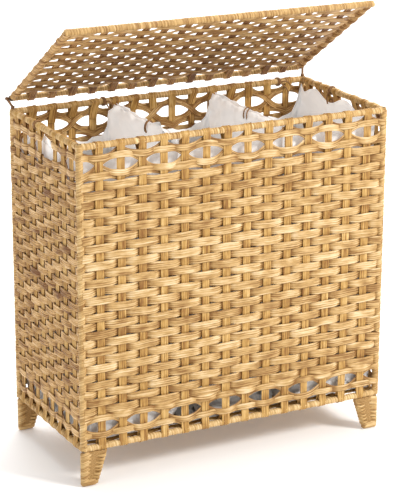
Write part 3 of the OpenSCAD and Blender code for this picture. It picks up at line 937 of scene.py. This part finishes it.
def bag_edge(x0, x1, y0, y1, over_left, over_right):
    """Top edge of a bag: over the dividers beside it, tied up at its back corners and slack between them."""
    low = BAR_TOP - SAG

    def edge(x, y):
        tx, ty = (x - x0) / (x1 - x0), (y - y0) / (y1 - y0)
        on_left, on_right = x < x0 + 1e-4, x > x1 - 1e-4
        if y > y1 - 1e-4:
            rise_right = math.exp(-(x1 - x) / (11 * MM))
            rise_left = math.exp(-(x - x0) / (14 * MM)) if over_left else 0.0
            ruffle = 2.5 * MM * math.sin(x / (9 * MM)) + 2 * MM * math.sin(x / (5.3 * MM))
            return low + (SAG + 8 * MM) * max(rise_right, rise_left) + ruffle
        if y < y0 + 1e-4:
            return BAR_TOP - 8 * MM - 7 * MM * (4 * tx * (1 - tx)) ** 0.7 + 2 * MM * math.sin(x / (7 * MM))
        if (on_left and over_left) or (on_right and over_right):
            return BAR_TOP + (4 + 5 * max(0.0, 2 * ty - 1) ** 2 + 1.5 * math.sin(y / (8 * MM))) * MM
        if on_left:
            fold = math.exp(-(((y - handle_y) / (16 * MM)) ** 2))
            return BAR_TOP - 4 * MM - 24 * MM * fold - (SAG - 4 * MM) * math.exp(-(y1 - y) / (30 * MM))
        fold = 0.5 - 0.5 * math.cos(2 * math.pi * 2.5 * ty)
        return BAR_TOP + 8 * MM - 17 * MM * fold

    return edge


handle_y = MID_Y - WALLS[2].stake(HANDLE_STAKE)


def bags():
    spans = {
        "left_liner": (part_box("left_liner")[0].x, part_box("left_liner")[1].x, False, True),
        "middle_liner": (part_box("middle_liner")[0].x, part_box("middle_liner")[1].x, True, True),
        "right_liner": (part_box("right_liner")[0].x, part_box("right_liner")[1].x, True, False),
    }
    for name, (x0, x1, over_left, over_right) in spans.items():
        lo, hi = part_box(name)
        y0, y1 = lo.y + 1.5 * MM, hi.y - 1.5 * MM
        edge = bag_edge(x0, x1, y0, y1, over_left, over_right)
        bag = liner(name, x0, x1, edge)
        co = np.array([v.co for v in bag.data.vertices])
        top = np.array([edge(p[0], p[1]) if on_wall(p, x0, x1, y0, y1) else NO_EDGE for p in co])
        held = []
        for index, point in enumerate(co):
            if point[2] < lo.z + 4 * MM or abs(point[2] - top[index]) < 0.5 * MM:
                held.append(index)
        settle(bag, held)
        pleat(bag, x0, x1, y0, y1, over_left)
        clamp_cloth(bag, x0, x1, y0, y1, lo.z + 1 * MM)
        hang_over(bag, x0, x1, over_left, over_right)
        deselect()
        bag.select_set(True)
        bpy.context.view_layer.objects.active = bag
        solid = bag.modifiers.new("cloth", "SOLIDIFY")
        solid.thickness = CLOTH_T
        solid.offset = 0
        bpy.ops.object.modifier_apply(modifier=solid.name)
        bpy.ops.object.shade_smooth()
        bag.data.materials.clear()
        bag.data.materials.append(white_cotton)
        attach(bag, "basket")
        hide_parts(name)


def on_wall(p, x0, x1, y0, y1):
    e = 1e-4
    return p[0] < x0 + e or p[0] > x1 - e or p[1] < y0 + e or p[1] > y1 - e


def pleat(bag, x0, x1, y0, y1, over_left):
    """Folds that run out from the two corners where a bag is tied up."""
    mesh = bag.data
    co = np.array([v.co for v in mesh.vertices])
    corners = [(x1, y1, BAR_TOP + 8 * MM)] + ([(x0, y1, BAR_TOP + 8 * MM)] if over_left else [])
    middle = np.array([(x0 + x1) / 2, (y0 + y1) / 2, BAR_TOP - 150 * MM])
    for corner in corners:
        away = co - np.array(corner)
        far = np.linalg.norm(away, axis=1)
        flat = np.maximum(np.hypot(away[:, 0], away[:, 1]), 1e-5)
        turn = np.arctan2(-away[:, 2], flat)
        depth = 10 * MM * np.exp(-far / (110 * MM)) * np.clip(far / (20 * MM), 0, 1)
        inward = unit((middle - co) * (1, 1, 0))
        co = co + inward * (depth * (0.5 + 0.5 * np.sin(turn * 17 + corner[0] * 60)))[:, None]
    mesh.vertices.foreach_set("co", co.ravel())


def clamp_cloth(bag, x0, x1, y0, y1, z0):
    """Keeps the creased cloth inside its own compartment."""
    mesh = bag.data
    co = np.array([v.co for v in mesh.vertices])
    co[:, 0] = np.clip(co[:, 0], x0 + 0.3 * MM, x1 - 0.3 * MM)
    co[:, 1] = np.clip(co[:, 1], y0 - 0.5 * MM, y1 + 0.5 * MM)
    co[:, 2] = np.maximum(co[:, 2], z0)
    mesh.vertices.foreach_set("co", co.ravel())


def hang_over(bag, x0, x1, over_left, over_right):
    """Folds the top of the divider side over its bar."""
    mesh = bag.data
    co = np.array([v.co for v in mesh.vertices])
    for side, wanted in ((-1, over_left), (1, over_right)):
        if not wanted:
            continue
        wall = x0 if side < 0 else x1
        near = np.abs(co[:, 0] - wall) < 14 * MM
        high = np.clip((co[:, 2] - (BAR_TOP - 3 * MM)) / (6 * MM), 0, 1)
        reach = 5.2 * MM
        co[:, 0] = np.where(near, co[:, 0] + side * reach * high, co[:, 0])
    mesh.vertices.foreach_set("co", co.ravel())


# ---- cords ----

CORD_R = 1.4 * MM


def cord(points, closed):
    """A thin round cord through the given points."""
    deselect()
    bpy.ops.curve.primitive_nurbs_path_add()
    path = bpy.context.object
    curve = path.data
    curve.splines.clear()
    spline = curve.splines.new("NURBS")
    spline.points.add(len(points) - 1)
    for point, co in zip(spline.points, points):
        point.co = (*co, 1.0)
    spline.use_cyclic_u = closed
    spline.use_endpoint_u = not closed
    spline.order_u = 4
    curve.resolution_u = 4
    curve.bevel_depth = CORD_R
    curve.bevel_resolution = 2
    curve.use_fill_caps = True
    bpy.ops.object.convert(target="MESH")
    return bpy.context.object


def cord_ring(centre, axis, radius, slant=0.0):
    """A turn of cord round a bar, leaning along the bar by slant."""
    centre, axis = np.asarray(centre, float), np.asarray(axis, float)
    up = np.array([0, 0, 1.0])
    side = np.cross(axis, up)
    angles = np.linspace(0, 2 * np.pi, 16, endpoint=False)
    points = []
    for a in angles:
        points.append(centre + radius * (np.cos(a) * side + np.sin(a) * up) + axis * slant * np.cos(a))
    return cord(points, True)


def hanging_cord(start, end, bow):
    """A loose end of cord that curves from one point to another."""
    start, end = np.asarray(start, float), np.asarray(end, float)
    t = np.linspace(0, 1, 7)[:, None]
    return cord(start + (end - start) * t + np.asarray(bow, float) * np.sin(np.pi * t), False)


def ties():
    rim_r = WRAP_R + 1.7 * MM
    rim_y = MID_Y + DEPTH / 2 - WRAP_R
    for side, s in (("left", -1), ("right", 1)):
        node = side + "_liner_ties"
        lo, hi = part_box(node)
        back_x = hi.x - 1.5 * MM if s < 0 else lo.x + 1.5 * MM
        side_y = lo.y + 1.5 * MM
        rim_x = s * (WIDTH / 2 - WRAP_R)
        parts = []
        for shift in (-1.5, 1.6):
            parts.append(cord_ring((back_x + shift * MM, rim_y, TOP_RIM_Z), (1, 0, 0), rim_r, 1.2 * MM))
            parts.append(cord_ring((rim_x, side_y + shift * MM, TOP_RIM_Z), (0, 1, 0), rim_r, 1.2 * MM))
        corner_x = -BAR_X - 8 * MM if s < 0 else back_x + 26 * MM
        corner = (corner_x, rim_y - 13 * MM, BAR_TOP + 3 * MM)
        start = (back_x, rim_y - rim_r, TOP_RIM_Z)
        parts.append(hanging_cord(start, corner, (0, -6 * MM, 8 * MM)))
        lower = (corner_x - 7 * MM, rim_y - 14 * MM, BAR_TOP - 10 * MM)
        parts.append(hanging_cord(start, lower, (0, -9 * MM, 2 * MM)))
        inner = (rim_x - s * rim_r, side_y, TOP_RIM_Z)
        hem = (rim_x - s * 14 * MM, side_y - 6 * MM, BAR_TOP - 12 * MM)
        parts.append(hanging_cord(inner, hem, (-s * 3 * MM, 0, 0)))
        finish_piece(parts, side + "_liner_cords", brown_cord, "basket", [node], thick=None)
    parts = []
    for s, turns in ((-1, ((-6, 9), (-4, 7))), (1, ((-5, 10), (6, 8)))):
        for shift, slant in turns:
            centre = (s * BAR_X, MID_Y + shift * MM, BAR_TOP - 4.9 * MM)
            parts.append(cord_ring(centre, (0, 1, 0), 12.5 * MM, slant * MM))
    finish_piece(parts, "middle_liner_cords", brown_cord, "basket", ["middle_liner_ties"], thick=None)


# ---- build ----

add_camera()
deselect()

for wall in WALLS:
    closed_weave(wall)
    stakes(wall)
    openwork(wall, "top")
    openwork(wall, "low")
rim_winding(TOP_RIM_Z, "top_rim_winding", "top_rim_wrap")
rim_winding(LOW_RIM_Z, "lower_rim_winding", "lower_rim_wrap")
for corner in ("front_left", "front_right", "back_left", "back_right"):
    post_winding(corner, (WEAVE_HI - WEAVE_LO) / LONG_ROWS)
    foot_winding(corner)
floor_mat()
for side in ("left", "right"):
    divider_windings(side)
lid_weavers()
lid_stake_strips()
lid_windings()
bags()
ties()

CARRIED = {
    coated_wire: [
        "top_rim", "lower_rim", "floor_bars", "lid_frame",
        "front_left_post", "front_right_post", "back_left_post", "back_right_post",
        "front_left_foot_wire", "front_right_foot_wire", "back_left_foot_wire", "back_right_foot_wire",
    ],
    brown_wire: ["left_hinge_arm", "right_hinge_arm"],
}
for material, names in CARRIED.items():
    for name in names:
        mesh = frame["nodes"][name].data
        mesh.materials.clear()
        mesh.materials.append(material)

# ---- floor and light ----


def plain(name, colour, rough, glow):
    """A nearly even colour that glows a little, for the studio floor."""
    mat, nodes, links, shader = new_material(name)
    place = nodes.new("ShaderNodeTexCoord")
    noise = nodes.new("ShaderNodeTexNoise")
    noise.inputs["Scale"].default_value = 3.0
    links.new(place.outputs["Object"], noise.inputs["Vector"])
    shades = ramp(nodes, [(0.4, tuple(c * 0.985 for c in colour)), (0.6, colour)])
    links.new(noise.outputs["Fac"], shades.inputs["Fac"])
    links.new(shades.outputs["Color"], shader.inputs["Base Color"])
    shader.inputs["Roughness"].default_value = rough
    shader.inputs["Specular IOR Level"].default_value = 0.1
    shader.inputs["Emission Color"].default_value = (1, 1, 1, 1)
    shader.inputs["Emission Strength"].default_value = glow
    return mat


deselect()
bpy.ops.mesh.primitive_plane_add(size=24, location=(0, 0, 0))
floor = bpy.context.object
floor.name = "studio_floor"
floor.data.materials.append(plain("studio_white", (0.93, 0.93, 0.93), 0.9, 0.14))


def area_light(name, place, aim, size, power, colour=(1, 1, 1)):
    data = bpy.data.lights.new(name, "AREA")
    data.shape = "RECTANGLE"
    data.size, data.size_y = size
    data.energy = power
    data.color = colour
    lamp = bpy.data.objects.new(name, data)
    bpy.context.scene.collection.objects.link(lamp)
    lamp.location = place
    lamp.rotation_euler = (Vector(aim) - Vector(place)).to_track_quat("-Z", "Y").to_euler()


area_light("key_light", (2.1, -2.8, 2.9), (0, 0, 0.35), (1.0, 1.0), 150, (1.0, 0.985, 0.96))
area_light("fill_light", (-3.0, -0.8, 1.8), (0, 0, 0.35), (2.0, 2.0), 24)
area_light("top_light", (0.3, 0.9, 3.2), (0, 0, 0.3), (2.2, 2.2), 55)
area_light("backdrop_light", (1.4, 4.2, 3.4), (1.4, 4.2, 0), (5.0, 4.0), 240)
bpy.context.scene.view_settings.view_transform = "Standard"

world = bpy.data.worlds.new("studio")
bpy.context.scene.world = world
world.use_nodes = True
world.node_tree.nodes["Background"].inputs["Color"].default_value = (1, 1, 1, 1)
world.node_tree.nodes["Background"].inputs["Strength"].default_value = 0.47
